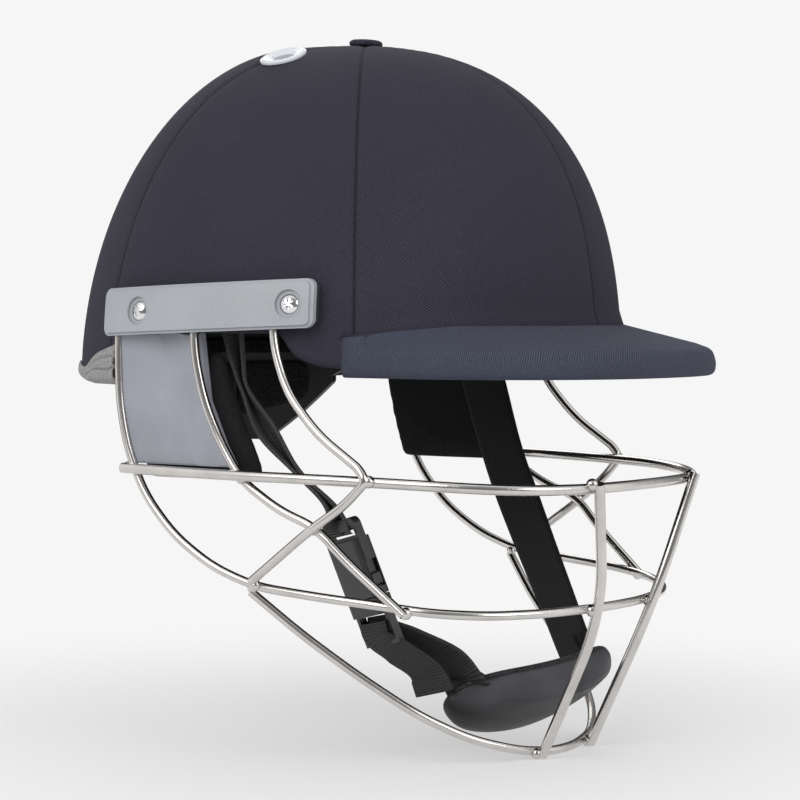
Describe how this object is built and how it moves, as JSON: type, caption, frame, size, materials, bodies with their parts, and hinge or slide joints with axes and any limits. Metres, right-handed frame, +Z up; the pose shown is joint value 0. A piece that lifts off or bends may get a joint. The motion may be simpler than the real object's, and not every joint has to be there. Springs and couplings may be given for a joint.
{
  "type": "cricket helmet",
  "caption": "Cloth-covered batting helmet with a peak, a welded steel wire face guard, side plates, ear guards, a buckled chin strap with cup and a dial-tightened nape cradle.",
  "frame": {"origin": "middle of the head opening at brim level, where the head goes in", "axes": "+Z up out of the crown, -Y to the front over the peak, +X to the wearer's left"},
  "size_m": [0.2192, 0.3001, 0.31],
  "materials": {
    "crown_cloth": "matte twill weave",
    "peak_cloth": "matte twill weave",
    "shell_plastic": "moulded, matte",
    "white_plastic": "smooth, slightly glossy",
    "grey_plastic": "satin",
    "guard_plastic": "fine grain, satin",
    "guard_wire": "drawn wire, lightly polished",
    "screw_steel": "bright plated",
    "black_rubber": "matte",
    "foam": "fine bead foam",
    "black_foam": "closed cell foam",
    "pad_fabric": "brushed knit",
    "grey_mesh": "knitted mesh",
    "black_plastic": "moulded, satin",
    "black_leather": "grained, satin",
    "webbing": "ribbed webbing"
  },
  "bodies": {
    "helmet": {"brow_pad": "pad_fabric", "chin_bar": "guard_wire", "crown_pad": "pad_fabric", "ear_guard_left": "guard_plastic", "ear_guard_right": "guard_plastic", "ear_pad_left": "black_foam", "ear_pad_right": "black_foam", "eyelet_left": "white_plastic", "eyelet_right": "white_plastic", "front_vertical_left": "guard_wire", "front_vertical_right": "guard_wire", "front_wire_left": "guard_wire", "front_wire_right": "guard_wire", "liner": "foam", "lower_bar": "guard_wire", "middle_wire_left": "guard_wire", "middle_wire_right": "guard_wire", "nape_roll": "grey_mesh", "nut_front_left": "screw_steel", "nut_front_right": "screw_steel", "nut_rear_left": "screw_steel", "nut_rear_right": "screw_steel", "panel_front_left": "crown_cloth", "panel_front_right": "crown_cloth", "panel_rear_left": "crown_cloth", "panel_rear_right": "crown_cloth", "panel_side_left": "crown_cloth", "panel_side_right": "crown_cloth", "peak_core": "shell_plastic", "peak_cover": "peak_cloth", "screw_front_left": "screw_steel", "screw_front_right": "screw_steel", "screw_rear_left": "screw_steel", "screw_rear_right": "screw_steel", "shell": "shell_plastic", "side_pad_left": "pad_fabric", "side_pad_right": "pad_fabric", "side_plate_left": "grey_plastic", "side_plate_right": "grey_plastic", "spacer_left": "black_rubber", "spacer_right": "black_rubber", "strap_post_left": "black_plastic", "strap_post_right": "black_plastic", "top_button": "crown_cloth", "upper_bar": "guard_wire"},
    "chin_strap": {"left_strap": "webbing", "right_strap": "webbing", "lower_strap": "webbing", "strap_tail": "webbing", "buckle_socket": "black_plastic", "buckle_clip": "black_plastic", "chin_cup": "black_leather", "chin_lining": "pad_fabric"},
    "front_arm": {"buckle_arm_front": "black_plastic"},
    "rear_arm": {"buckle_arm_rear": "black_plastic"},
    "cradle": {"cradle": "black_plastic", "nape_pad": "pad_fabric", "fit_band_left": "black_plastic", "fit_band_right": "black_plastic"},
    "dial": {"dial": "black_plastic"}
  },
  "joints": [
    {"name": "chin_strap_swing", "type": "hinge", "parent": "helmet", "child": "chin_strap", "pos_m": [0, -0.004, 0.028], "axis": [1, 0, 0], "range_deg": [-3, 36]},
    {"name": "front_arm_squeeze", "type": "hinge", "parent": "chin_strap", "child": "front_arm", "pos_m": [-0.07204, -0.06885, -0.088], "axis": [-0.9165, 0.2972, -0.2676], "range_deg": [0, 5], "stiffness_Nm_per_rad": 0.2},
    {"name": "rear_arm_squeeze", "type": "hinge", "parent": "chin_strap", "child": "rear_arm", "pos_m": [-0.0658, -0.05308, -0.09188], "axis": [0.9165, -0.2972, 0.2676], "range_deg": [0, 5], "stiffness_Nm_per_rad": 0.2},
    {"name": "cradle_tighten", "type": "slide", "parent": "helmet", "child": "cradle", "axis": [0, -1, 0], "range_m": [0, 0.012]},
    {"name": "dial_turn", "type": "hinge", "parent": "cradle", "child": "dial", "pos_m": [0, 0.105, -0.017], "axis": [0, 1, 0], "range_deg": [0, 180]}
  ],
  "couplings": [
    {"joint": "dial_turn", "follows": "cradle_tighten", "rad_per_m": 261.8},
    {"joint": "rear_arm_squeeze", "follows": "front_arm_squeeze", "ratio": 1}
  ]
}
